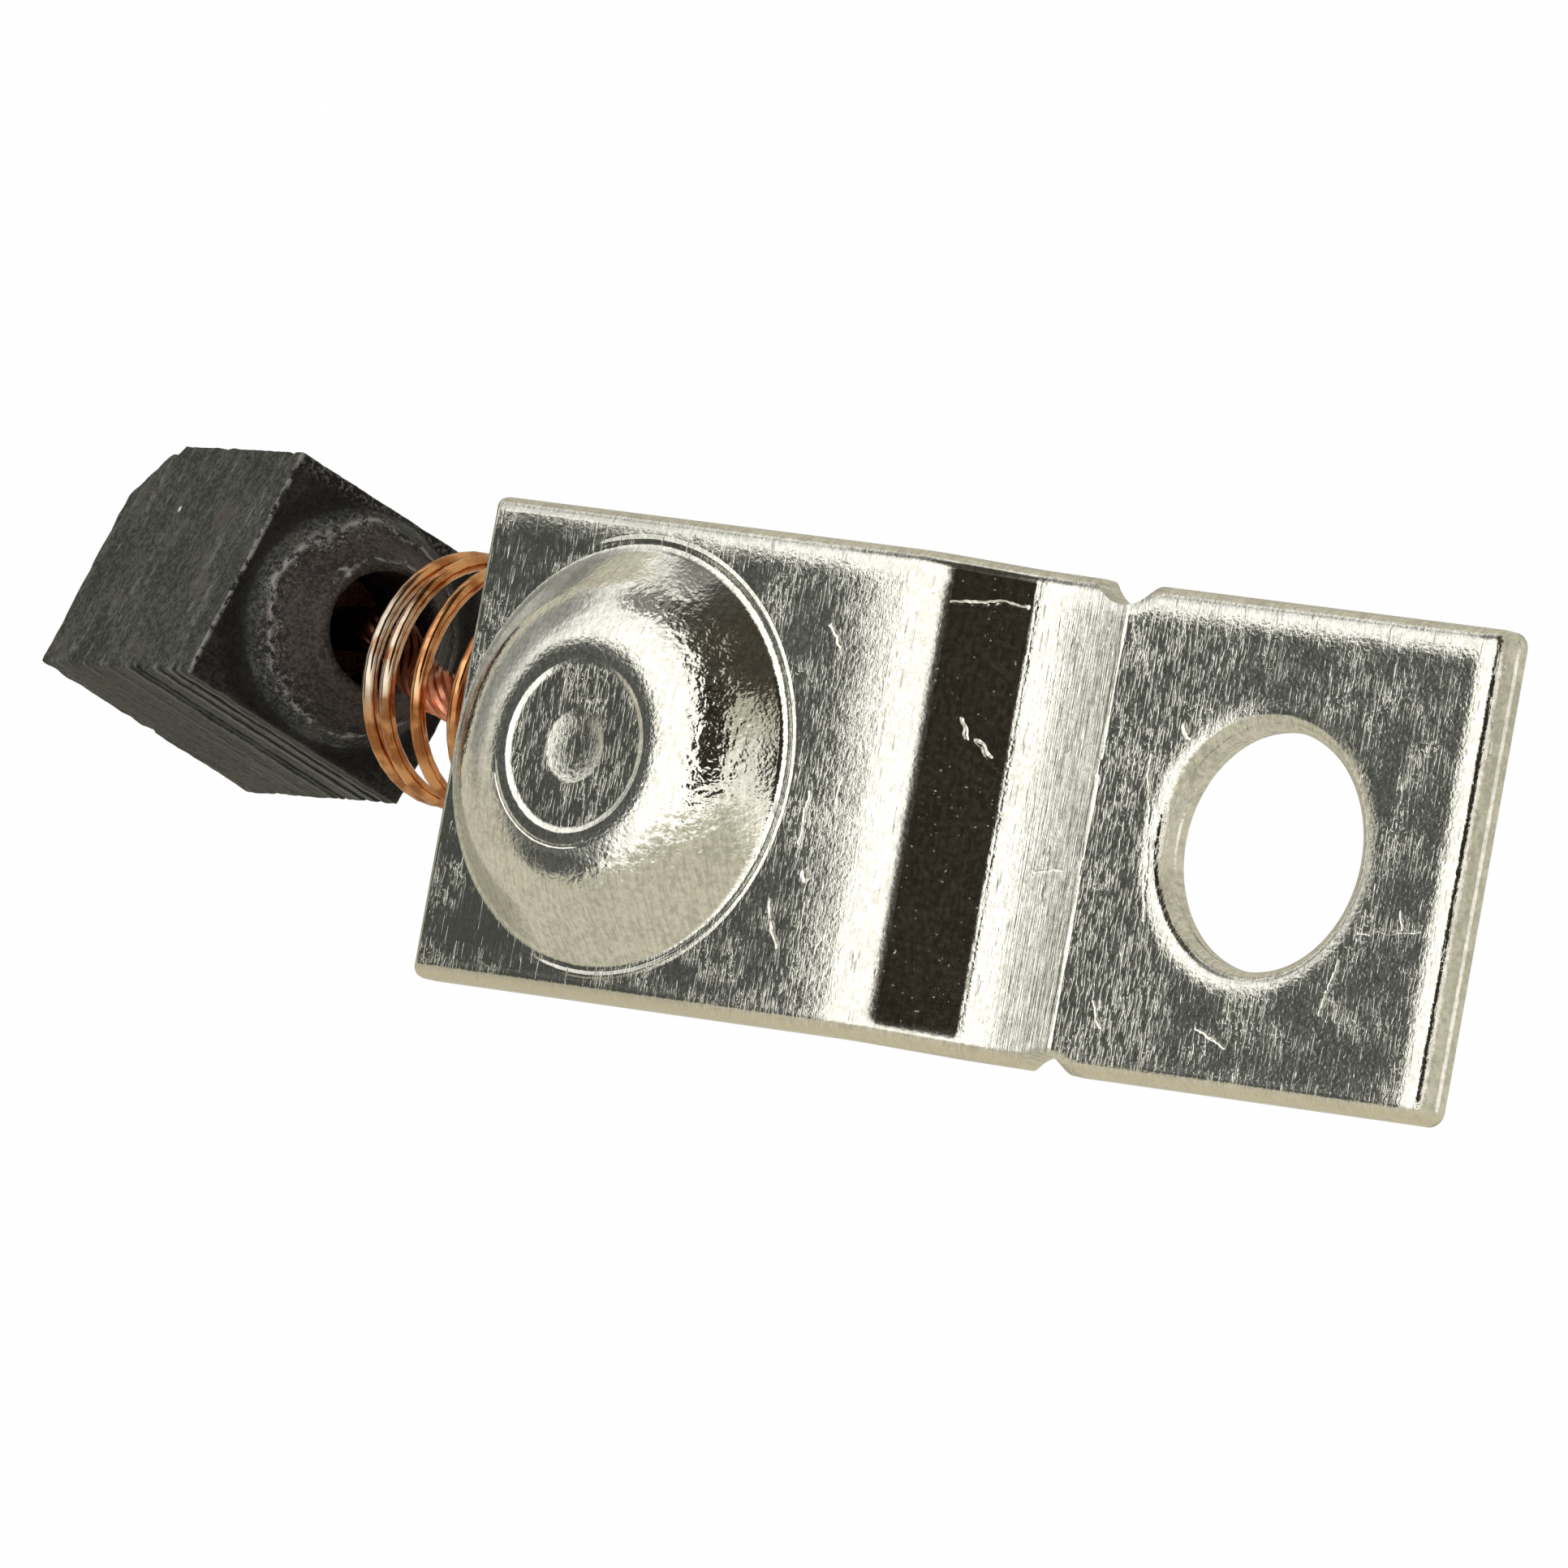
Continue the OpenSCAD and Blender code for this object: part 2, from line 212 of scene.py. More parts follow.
# The dome's outline, from its cap out: the shallow mark that the weld below leaves, the coined
# ring, the rounded shoulder, and the hollow that leads into the strip. The inside follows it,
# one sheet lower.
rise, flat_r, shoulder_r, hollow_r, foot_angle = 1.35, 1.75, 2.1, 0.25, 0.06
shoulder = (flat_r, rise - shoulder_r)
heel = (dome_r, hollow_r)
reach = Vector(heel) - Vector(shoulder)
flank = asin((shoulder_r + hollow_r) / reach.length) - atan2(reach.y, reach.x)
weld = [(0, rise - 0.06), (0.55, rise - 0.06), (0.66, rise - 0.035), (0.72, rise - 0.03),
        (1.5, rise - 0.03)]
coin = [(1.57, rise - 0.03), (1.63, rise - 0.002), (1.66, rise), (flat_r, rise)]
outer = (weld + coin + arc(shoulder, shoulder_r, 0, flank, 16)[1:]
         + arc(heel, -hollow_r, flank, foot_angle, 5) + [(dome_r, -0.4), (0, -0.4)])
inner = ([(0, rise - sheet)] + arc(shoulder, shoulder_r - sheet, 0, flank, 8)
         + arc(heel, -hollow_r - sheet, flank, foot_angle, 8))
inner += [(inner[-1][0], -sheet - 0.4), (0, -sheet - 0.4)]
cut(plate, turned("dome", outer, dome, 160), "UNION")
cut(plate, turned("hollow", inner, dome, 128))
take_up(plate)
bpy.ops.object.mode_set(mode="EDIT")
merge(0.001)
bpy.ops.object.mode_set(mode="OBJECT")
bpy.ops.object.shade_smooth_by_angle(angle=radians(40))
modify(plate, "WEIGHTED_NORMAL", keep_sharp=True)


class Signal:
    """A shader socket. Sums on it add Math nodes, and make() adds any other node."""

    def __init__(self, tree, socket=None):
        self.tree, self.socket = tree, socket

    def make(self, kind, settings=None, values=None, out=0):
        """Adds a node, sets it up, then gives its sockets their values or links."""
        node = self.tree.nodes.new("ShaderNode" + kind)
        for name, setting in (settings or {}).items():
            setattr(node, name, setting)
        for name, value in (values or {}).items():
            if isinstance(value, Signal):
                self.tree.links.new(value.socket, node.inputs[name])
            else:
                node.inputs[name].default_value = value
        return Signal(self.tree, node.outputs[out])

    def math(self, operation, *values):
        return self.make("Math", {"operation": operation}, dict(enumerate(values)))

    def __add__(self, other): return self.math("ADD", self, other)
    def __radd__(self, other): return self.math("ADD", other, self)
    def __sub__(self, other): return self.math("SUBTRACT", self, other)
    def __rsub__(self, other): return self.math("SUBTRACT", other, self)
    def __mul__(self, other): return self.math("MULTIPLY", self, other)
    def __rmul__(self, other): return self.math("MULTIPLY", other, self)
    def __truediv__(self, other): return self.math("DIVIDE", self, other)
    def __pow__(self, other): return self.math("POWER", self, other)
    def __neg__(self): return self.math("MULTIPLY", self, -1.0)

    def size(self): return self.math("ABSOLUTE", self)
    def least(self, other): return self.math("MINIMUM", self, other)
    def most(self, other): return self.math("MAXIMUM", self, other)

    def fade(self, low, high):
        """Rises smoothly from 0 to 1 between low and high; falls when low is the larger."""
        return self.make("MapRange", {"interpolation_type": "SMOOTHSTEP"},
                         {"Value": self, "From Min": low, "From Max": high})

    def mix(self, a, b):
        """Colour a where this is 0, colour b where it is 1."""
        a, b = [c if isinstance(c, Signal) else (*c, 1) for c in (a, b)]
        return self.make("Mix", {"data_type": "RGBA"}, {0: self, 6: a, 7: b}, out=2)

    def vector(self, operation, *values, out=0):
        return self.make("VectorMath", {"operation": operation},
                         dict(enumerate((self, *values))), out)

    def stretch(self, x, y, z):
        return self.vector("MULTIPLY", (x, y, z))

    def axes(self):
        return [self.make("SeparateXYZ", None, {0: self}, out=i) for i in range(3)]

    def noise(self, scale, detail=2.0, rough=0.5, out=0):
        return self.make("TexNoise", None, {"Vector": self, "Scale": scale, "Detail": detail,
                                            "Roughness": rough}, out)

    def bump(self, strength, reach=1.0):
        """The normal of a surface raised by this, which is in millimetres when reach is 1."""
        return self.make("Bump", None, {"Height": self, "Strength": strength,
                                        "Distance": reach * mm})


def finish_for(name, metal):
    """A new finish, its shader and the place on the piece in millimetres."""
    finish = bpy.data.materials.new(name)
    finish.use_nodes = True
    shader = finish.node_tree.nodes["Principled BSDF"]
    shader.inputs["Metallic"].default_value = metal
    spot = Signal(finish.node_tree).make("TexCoord", out="Object")
    spot = spot.make("VectorMath", {"operation": "SCALE"}, {0: spot, "Scale": 1000.0})
    return finish, shader, spot


def feed(shader, **inputs):
    """Leads signals to a shader's sockets, each named with _ for its spaces."""
    for name, signal in inputs.items():
        shader.id_data.links.new(signal.socket, shader.inputs[name.replace("_", " ")])


def dress(piece, finish, body, *nodes):
    """Gives a piece its finish and body, and puts it in place of its CAD nodes."""
    piece.data.materials.clear()
    piece.data.materials.append(finish)
    if body:
        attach(piece, body)
    if nodes:
        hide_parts(*nodes)


plate_finish, shader, spot = finish_for("nickel_plate", 1)
x, y, z = spot.axes()
# Places on the strip seen from above, shifted a little so that a scratch isn't ruler-straight
wobble = spot.noise(2.5, 2.0, 0.5, out=1).vector("SUBTRACT", (0.5, 0.5, 0.5))
on_strip = spot.stretch(1, 1, 0).vector("ADD", wobble.stretch(0.25, 0.25, 0))
out = ((x - dome.x) * (x - dome.x) + y * y) ** 0.5
on_toe = x.fade(foot[0] - 0.05, foot[0] + 0.05) * x.fade(crease + 0.03, crease - 0.03)
on_riser = x.fade(bend[0], brow[0]) * x.fade(foot[0] + 0.05, foot[0] - 0.05)
on_dome = out.fade(dome_r, dome_r - 0.15) * z.fade(level - 0.6, level - 0.5)
on_cap = on_dome * out.fade(1.6, 1.5)
on_flank = on_dome - on_cap
off_flank, off_riser = 1 - on_flank, 1 - on_riser
pits = spot.noise(13.0, 1.0, 0.5)
grain = spot.noise(9.0, 4.0, 0.65)
cloud = spot.noise(1.1, 3.0, 0.55)
drawn = spot.stretch(22, 2.8, 1).noise(1.0, 1.5, 0.5)
combed = spot.stretch(30, 0.5, 1).noise(1.0, 2.0, 0.6)
scored = spot.stretch(15, 1.1, 1).noise(1.0, 1.0, 0.5)
hammered = spot.noise(4.8, 2.0, 0.5)


def rolled(distance, wide):
    """How far the sheet is drawn down, in millimetres, at a distance from its punched edge."""
    part = (1 - distance / wide).most(0.0)
    return part * part * (-0.165 * wide)


def mark(start, end, wide, deep):
    """A scratch or dent between two places on the strip, as a groove in millimetres."""
    start, end = Vector((*start, 0)), Vector((*end, 0))
    run = end - start
    away = on_strip.vector("SUBTRACT", tuple(start))
    part = away.vector("DOT_PRODUCT", tuple(run / run.length_squared), out="Value")
    part = part.least(1.0).most(0.0)
    nearest = part.make("VectorMath", {"operation": "SCALE"}, {0: tuple(run), "Scale": part})
    return away.vector("DISTANCE", nearest, out="Value").fade(wide, 0.0) * -deep


# How far the skin stands up, in millimetres: its pits and slow swell, fewer on the riser
dome_end_shade_and_smoothing = x.fade(dome.x + 4.5, dome.x - 1.5)
height = 0.006 * pits * (1 - 0.3 * dome_end_shade_and_smoothing) * (1 - 0.8 * on_riser)
height += 0.012 * off_riser * cloud
# Strokes from rolling the sheet, thickest beside the bends, and a few pores
streaky = (0.7 * cloud.fade(0.35, 0.75)
           + 0.6 * x.fade(dome.x + 3.5, bend[0]) * x.fade(brow[0], bend[0])
           + 0.3 * on_cap + 0.6 * x.fade(crease, crease + 0.2) * x.fade(-0.5, -3.0))
height += 0.0034 * off_flank * (1 - 0.95 * on_riser) * streaky * drawn.fade(0.52, 0.64)
height -= 0.003 * off_flank * off_riser * cloud.fade(0.5, 0.62) * pits.fade(0.58, 0.7)
height -= 0.012 * on_riser * pits.fade(0.75, 0.8)
# The bending tool has combed the toe, most of all next to the crease, and handling has scored
# the flats here and there
height += 0.03 * on_toe * combed * x.fade(foot[0], crease)
height -= 0.012 * off_flank * off_riser * scored.fade(0.68, 0.74)
# Crinkles on the dome's flank, where the sheet was stretched
height += (0.026 * on_flank * out.fade(2.0, 2.7) * out.fade(3.7, 3.2)
           * (0.4 + x.fade(dome.x, dome.x + 1)) * hammered)
# Edges drawn down by the punch: the screw end and the hole, the long edges, then the nicks
end_roll, hole_roll, upper_roll, lower_roll, nick_roll = 0.75, 0.65, 0.8, 0.5, 0.35
height += (rolled(screw_end - x, end_roll)
           + rolled((x * x + y * y) ** 0.5 - hole_r, hole_roll)) * z.fade(0.2, 0.4)
height += (rolled(width / 2 - y, upper_roll) * (0.5 + 0.5 * x.fade(dome.x - 4, dome.x + 5))
           + rolled(width / 2 + y, lower_roll))
nick_x, nick_y = x - crease, y.size() - width / 2 - 0.22
height += rolled((nick_x * nick_x + nick_y * nick_y) ** 0.5 - 0.55, nick_roll)
# The flat starts to curve down before the bend, and the bend begins at the slope it reaches
swell_run, swell_fall = 1.5, 0.036
swell = x - bend[0] + swell_run + 0.06 * y
turn = (x - bend[0]).most(0.0).least(brow[0] - bend[0])
height += (-swell_fall * swell.most(0.0).least(swell_run + 0.06 * y) ** 2
           - 2 * swell_fall * swell_run * turn + 0.11 * turn * turn)
# The burr that the press left at the crease, broken in two places
wander = x - crease + 0.12 * (spot.stretch(0, 0.6, 0).noise(1.0, 2.0, 0.5) - 0.5)
whole = (y - 1.1).size().fade(0.12, 0.2) * (y + 0.8).size().fade(0.12, 0.2)
height += 0.02 * whole * wander.size().fade(0.08, 0.0)
# The line of the die round the dome's foot, and the coining tool's second line beside its ring
height += (0.02 * (out - 4.13).size().fade(0.09, 0.0) * x.fade(dome.x - 2, dome.x)
           * z.fade(level - 0.4, level - 0.3))
across = (-x * 0.45 + y * -0.9 + 0.45 * dome.x) / out
height += -0.012 * on_dome * (out - 1.9).size().fade(0.06, 0.0) * across.fade(0.6, 0.85)
# Scratches and dents: from where to where, how wide and how deep
scratches = (
    ((-2.22, 2.05), (-2.1, 1.89), 0.1, 0.016), ((-9.38, -1.7), (-9.27, -1.81), 0.1, 0.018),
    ((2.67, -1.28), (4.06, -1.12), 0.05, 0.004), ((3.52, -0.8), (3.6, -1.13), 0.05, 0.005),
    ((-0.67, -3.41), (-0.3, -3.57), 0.05, 0.01), ((-0.3, -3.57), (0.04, -3.72), 0.05, 0.01),
    ((2.32, -1.81), (2.08, -2.85), 0.05, 0.005), ((-2.9, 1.42), (-2.7, 0.2), 0.05, 0.006),
    ((-2.62, -0.1), (-2.39, -1.57), 0.05, 0.007), ((-10.06, -2.28), (-9.94, -2.62), 0.06, 0.014),
    ((-9.94, -2.62), (-9.67, -3.11), 0.06, 0.014), ((-9.75, 2.95), (-9.41, 2.48), 0.06, 0.012),
    ((-9.55, -0.15), (-9.61, -1.16), 0.05, 0.01), ((-8.83, 0.15), (-8.89, -0.47), 0.05, 0.01),
    ((-6.81, 1.57), (-6.71, 1.23), 0.04, 0.013), ((-6.55, 1.26), (-6.32, 1.04), 0.05, 0.016),
    ((-7.27, 3.7), (-6.17, 3.88), 0.05, 0.012), ((-5.05, -0.95), (-4.5, -0.85), 0.05, 0.01),
    ((-4.9, -0.5), (-4.8, -1.6), 0.05, 0.01), ((-3.2, -3.2), (-3.0, -3.7), 0.05, 0.01))
for start, end, wide, deep in scratches:
    height += mark(start, end, wide, deep)
nickel_dim, nickel_bright = (0.60, 0.595, 0.55), (0.95, 0.945, 0.89)
lower_edge_painted_reflection, bare_metal = (0.86, 0.80, 0.66), (0.42, 0.2, 0.15)
tone = (grain * 0.5 + drawn * 0.3 + cloud * 0.2).fade(0.36, 0.62)
# Painted shade: the base colour is darkened toward the dome end, and more on the lower side (y
# below -1 mm) short of the bend, except on the dome's flank
tone = tone - (0.4 * dome_end_shade_and_smoothing + 0.3 * x.fade(bend[0], dome.x + 3) * y.fade(-1.0, -4.0)) * off_flank
metal = tone.mix(nickel_dim, nickel_bright)
# Painted reflection: the lower long edge is mixed toward pale beige, standing in for the bright
# floor that its rounded edge reflects
metal = (y.fade(-width / 2 + 0.3, -width / 2 + 0.1) * 0.7).mix(metal, lower_edge_painted_reflection)
at_nick = spot.vector("DISTANCE", (-3.95, 4.5, 0.3), out="Value")
bare = at_nick.fade(0.55, 0.3) * y.fade(4.2, 4.3)
feed(shader, Base_Color=(bare * cloud.fade(0.35, 0.5)).mix(metal, bare_metal))
feed(shader, Roughness=0.07 + 0.1 * grain)
feed(shader, Normal=height.bump(1.0))
dress(plate, plate_finish, "terminal", "terminal_plate")

# ---- Carbon block -----------------------------------------------------------------------
# Pressed carbon, sawn and ground to 5.2 by 4.9 mm, with a boss turned on one end to centre
# the spring and a hole for the lead. The edges chip easily, and grinding leaves fine lines
# across the sides.
block_w, block_t, block_l = 5.2, 4.86, 6.5
chamfer_along, chamfer_across = 1.15, 1.35
boss_h, bore_r, bore_deep = 1.4, 1.1, 5
droop, twist = radians(23), radians(19)
shoulder_at = dome + Vector((-9.93, 1.98, -3.32))
hang = (Matrix.Translation(shoulder_at * mm) @ Matrix.Rotation(pi / 2 - droop, 4, "Y")
        @ Matrix.Rotation(-twist, 4, "Z"))
bpy.ops.object.select_all(action="DESELECT")
bpy.ops.mesh.primitive_cube_add(size=1 * mm, location=(0, 0, -block_l / 2 * mm))
block = bpy.context.object
block.name = "ground_block"
block.scale = (block_w, block_t, block_l)
bpy.ops.object.transform_apply(location=True, rotation=True, scale=True)
bpy.ops.object.mode_set(mode="EDIT")
bpy.ops.mesh.select_all(action="SELECT")
bpy.ops.mesh.bisect(plane_co=(0, block_t / 2 * mm, (chamfer_along - block_l) * mm),
                    plane_no=(0, chamfer_along, -chamfer_across), use_fill=True, clear_outer=True)
bpy.ops.mesh.select_all(action="SELECT")
bpy.ops.mesh.bevel(offset=0.05 * mm, segments=1, affect="EDGES")
bpy.ops.object.mode_set(mode="OBJECT")
boss = [(0, -0.4), (2.35, -0.4), (2.35, 0), (2.03, 0.46), (1.98, 0.52), (1.9, 0.5), (1.3, 1.32),
        (1.22, boss_h), (0, boss_h)]
cut(block, turned("boss", boss, Vector(), 96), "UNION")
drill(block, bore_r, 6, (0, 0, boss_h - bore_deep + 3), 64)
# Saw furrows across one side, then chips out of the long corners and the contact face's rim
for down in (0.7, 1.3, 2.2, 2.5):
    bpy.ops.object.select_all(action="DESELECT")
    bpy.ops.mesh.primitive_cube_add(size=1 * mm, location=(0, -block_t / 2 * mm, -down * mm))
    bpy.context.object.scale = (block_w + 1, 0.24, 0.13)
    cut(block, bpy.context.object)
chance = Random(7)
for _ in range(22):
    corner_u, corner_v = chance.choice(((1, 1), (1, -1), (-1, 1)))
    place = [corner_u * block_w / 2, corner_v * block_t / 2, -chance.uniform(0.4, block_l - 0.2)]
    if chance.random() < 0.45:
        place[2] = -block_l
        place[0] = chance.uniform(-0.48, 0.48) * block_w
    bpy.ops.object.select_all(action="DESELECT")
    bpy.ops.mesh.primitive_ico_sphere_add(subdivisions=2, radius=chance.uniform(0.07, 0.16) * mm,
                                          location=[c * mm for c in place],
                                          rotation=[chance.uniform(0, 3) for _ in range(3)])
    bpy.context.object.scale = [chance.uniform(0.6, 2.2) for _ in range(3)]
    cut(block, bpy.context.object)
take_up(block)
modify(block, "REMESH", mode="VOXEL", voxel_size=0.06 * mm)
grit = bpy.data.textures.new("grit", "CLOUDS")
grit.noise_scale = 0.35 * mm
grit.noise_depth = 3
modify(block, "DISPLACE", texture=grit, strength=0.05 * mm, mid_level=1.0)
bpy.ops.object.shade_smooth()
block.matrix_world = hang
bpy.ops.object.transform_apply(location=True, rotation=True, scale=True)

# The finish is laid out on the block's own axes: u and v across it, w out along the boss
carbon_finish, shader, spot = finish_for("ground_carbon", 0)
away = spot.vector("SUBTRACT", tuple(shoulder_at))
block_axes = hang.to_3x3().transposed()
u, v, w = [away.vector("DOT_PRODUCT", tuple(axis), out="Value") for axis in block_axes]
in_block = u.make("CombineXYZ", None, {0: u, 1: v, 2: w})
radius = (u * u + v * v) ** 0.5
dust = in_block.noise(13.0, 3.0, 0.7)
grit_mark = in_block.noise(5.0, 4.0, 0.65)
lines = in_block.stretch(0.5, 0.5, 4).noise(1.0, 3.0, 0.6)
smudge = in_block.noise(0.8, 3.0, 0.55)
wave = in_block.noise(1.4, 2.0, 0.5)
web = (in_block.noise(4.5, 3.0, 0.6) - 0.5).size().fade(0.06, 0.0) * dust.fade(0.42, 0.52)
# Ground sides, the browner boss, and darker colours for the end face round it as painted shade
side_dark, side_pale, side_line = (0.016, 0.017, 0.015), (0.070, 0.072, 0.064), (0.13, 0.13, 0.12)
boss_dark, boss_pale, boss_red = (0.018, 0.014, 0.012), (0.065, 0.052, 0.046), (0.13, 0.05, 0.04)
end_dark, end_pale = (0.010, 0.009, 0.008), (0.040, 0.036, 0.033)
boss_foot_shade_black, brown = (0.006, 0.006, 0.006), (0.075, 0.055, 0.05)
tone = (dust * 0.5 + grit_mark * 0.2 + lines * 0.15 + smudge * 0.15).fade(0.43, 0.57)
side = tone.mix(side_dark, side_pale)
side = (lines.fade(0.57, 0.64) * grit_mark.fade(0.47, 0.57) * 0.8).mix(side, side_line)
side = (smudge.fade(0.54, 0.66) * 0.4).mix(side, brown)
cone = tone.mix(boss_dark, boss_pale)
cone = (dust.fade(0.6, 0.66) * 0.6).mix(cone, boss_red)
shaded_end_face = tone.mix(end_dark, end_pale)
on_end = w.fade(-0.1, -0.02)
on_boss = w.fade(0.02, 0.12)
# Painted shade: the end face takes the darker colours where the sides keep theirs
colour = on_end.mix(side, shaded_end_face)
# Painted shade: the end face's corners round the boss's foot are darkened toward black
boss_foot_painted_shade = on_end * (radius - 2.5).size().fade(0.4, 0.15) * (1 - on_boss)
colour = (boss_foot_painted_shade * 0.6).mix(colour, boss_foot_shade_black)
colour = on_boss.mix(colour, side)
colour = (on_boss * radius.fade(2.1, 1.85)).mix(colour, cone)
# Bright crumbled lines: round the boss's rim and its hole, and along two edges of the end
chipped = (radius - 1.98 - 0.5 * (wave - 0.5)).size()
scar = chipped.fade(0.06 + 0.07 * u.fade(0.3, -0.8), 0.0) * grit_mark.fade(0.44, 0.51)
scar = scar.most(web * chipped.fade(0.3, 0.12) * u.fade(0.2, -0.8))
inner_scar = (radius - 1.36 - 0.5 * (wave - 0.5)).size().fade(0.06, 0.0) * v.fade(-0.2, 0.8)
scar = scar.most(inner_scar * grit_mark.fade(0.44, 0.56)) * w.fade(0.1, 0.3)
worn = ((u + block_w / 2 - 0.05).size().fade(0.08, 0.02) * (w + 0.05).size().fade(0.05, 0.015)
        * grit_mark.fade(0.42, 0.56))
far_worn = ((v - block_t / 2 + 0.1).size().fade(0.3, 0.05) * (w + 0.05).size().fade(0.12, 0.03)
            * dust.fade(0.5, 0.6))
fresh_break = (0.27, 0.25, 0.235)
colour = scar.most(worn * 0.9).most(far_worn * 0.5).mix(colour, fresh_break)
# Dark furrows across the sawn side as painted shade, each with a pale ridge beside it as a painted
# highlight
under = v.fade(-block_t / 2 + 0.2, -block_t / 2 + 0.05) * w.fade(-0.05, -0.2)
furrow_shade_and_groove, ridge_highlight = 0.0, 0.0
for place, share in ((0.25, 0.6), (0.7, 1.0), (1.3, 1.0), (2.2, 0.7), (2.5, 0.6), (3.4, 0.4)):
    off_line = w + place + 0.16 * (wave - 0.5)
    furrow_shade_and_groove = (share * off_line.size().fade(0.16, 0.03)).most(furrow_shade_and_groove)
    ridge_highlight = (share * (off_line + 0.24).size().fade(0.13, 0.02)).most(ridge_highlight)
kept = smudge.fade(0.3, 0.44)
furrow_shade_black, ridge_highlight_grey = (0.004, 0.004, 0.004), (0.17, 0.17, 0.155)
colour = (under * furrow_shade_and_groove * 0.95 * kept).mix(colour, furrow_shade_black)
colour = (under * ridge_highlight * 0.7 * kept).mix(colour, ridge_highlight_grey)
# One pale speck on the ground side
speck = in_block.vector("DISTANCE", (-block_w / 2, 1.03, -3.95), out="Value").fade(0.08, 0.04)
colour = speck.mix(colour, (0.6, 0.58, 0.52))
relief = (0.05 * grit_mark + 0.03 * dust + 0.012 * lines + 0.07 * scar
          - 0.04 * under * furrow_shade_and_groove * kept)
feed(shader, Base_Color=colour)
feed(shader, Roughness=0.42 + 0.25 * grit_mark)
feed(shader, Normal=relief.bump(0.8))
shader.inputs["Specular IOR Level"].default_value = 0.2
dress(block, carbon_finish, "brush", "carbon_block")

# ---- Compression spring -----------------------------------------------------------------
# Copper plated wire, 0.3 mm thick, wound to fit inside the dome. The coils are closed up at
# both ends; with the brush hanging loose it bends round and down to the block.
out_of_boss = Vector((cos(droop), 0, sin(droop)))
boss_tip = shoulder_at + boss_h * out_of_boss
wire_d, coil_r, turns, steps_a_turn = 0.31, 2.305, 10, 40


def bezier(a, b, c, d, steps):
    """Points along a curve that leaves a toward b and comes to d from c."""
    for i in range(steps + 1):
        t = i / steps
        yield (1 - t) ** 3 * a + 3 * (1 - t) ** 2 * t * b + 3 * (1 - t) * t * t * c + t ** 3 * d


def swung(place, axis, r, swing):
    """The place at a distance r from a line along an axis, turned round it by an angle."""
    across = axis.cross(Vector((0, 1, 0))).normalized()
    return place + r * (cos(swing) * across + sin(swing) * axis.cross(across))


def tube(name, path, thick, sides=3):
    """A round wire drawn along a path, made a mesh."""
    bpy.ops.object.select_all(action="DESELECT")
    bpy.ops.curve.primitive_nurbs_path_add()
    wire = bpy.context.object
    wire.name = name
    wire.data.splines.clear()
    line = wire.data.splines.new("POLY")
    line.points.add(len(path) - 1)
    for point, place in zip(line.points, path):
        point.co = (*(place * mm), 1)
    wire.data.bevel_depth = thick / 2 * mm
    wire.data.bevel_resolution = sides
    wire.data.use_fill_caps = True
    bpy.ops.object.convert(target="MESH")
    wire.location = (0, 0, 0)
    bpy.ops.object.shade_smooth_by_angle(angle=radians(50))
    return wire


# The first turn lies where the dome's rounded shoulder narrows to the coil
in_reach = shoulder_r - sheet - wire_d / 2 - 0.03
seat_z = rise - shoulder_r + (in_reach ** 2 - (coil_r - flat_r) ** 2) ** 0.5
seat = dome + Vector((0, 0, seat_z))
knee = seat - Vector((0, 0, 0.4))
free_way = Vector((0.9855, -0.0664, 0.146))
free_end = boss_tip + Vector((0.97, -0.64, -1.23))
line = [seat] + list(
    bezier(knee, knee - Vector((0, 0, 4.5)), free_end + 2.1 * free_way, free_end, 60))
run = [0]
for a, b in zip(line, line[1:]):
    run.append(run[-1] + (b - a).length)
# How much of the line each turn takes up, as shares of the whole: closed up at both ends
room = [0, 0.44, 0.62, 1.5, 2, 1.75, 1.12, 0.84, 1.19, 0.53, 0.3]
for i in range(1, len(room)):
    room[i] += room[i - 1]
path = []
for j in range(turns * steps_a_turn + 1):
    turn = min(j / steps_a_turn, turns - 0.0001)
    k = int(turn)
    at = (room[k] + (turn - k) * (room[k + 1] - room[k])) * run[-1] / room[-1]
    i = max(n for n in range(len(line) - 1) if run[n] <= at)
    part = (at - run[i]) / (run[i + 1] - run[i])
    before = (line[i + 1] - line[max(i - 1, 0)]).normalized()
    after = (line[min(i + 2, len(line) - 1)] - line[i]).normalized()
    axis = ((1 - part) * before + part * after).normalized()
    swing = radians(-62 + 360 * j / steps_a_turn)
    path.append(swung(line[i].lerp(line[i + 1], part), axis, coil_r, swing))
spring = tube("coil_spring", path, wire_d)
spring_finish, shader, spot = finish_for("copper_plated_wire", 1)
stain = spot.noise(1.6, 3.0, 0.6)
copper = stain.fade(0.38, 0.62).mix((0.40, 0.16, 0.06), (0.80, 0.41, 0.19))
# Painted highlight: a silver grey sheen is mixed into the copper on the turns next to the block,
# off their flanks
x, y = spot.axes()[:2]
painted_silver_sheen = (stain - 0.45 + (boss_tip.x + 1.8 - x) * 0.25).fade(0.0, 0.3)
painted_silver_sheen = painted_silver_sheen * (y - 1.6).size().fade(1.6, 0.6)
feed(shader, Base_Color=(painted_silver_sheen * 0.8).mix(copper, (0.66, 0.64, 0.56)))
feed(shader, Roughness=0.07 + 0.1 * spot.noise(12.0, 3.0, 0.6))
dress(spring, spring_finish, None, "compression_spring")
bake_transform(spring)

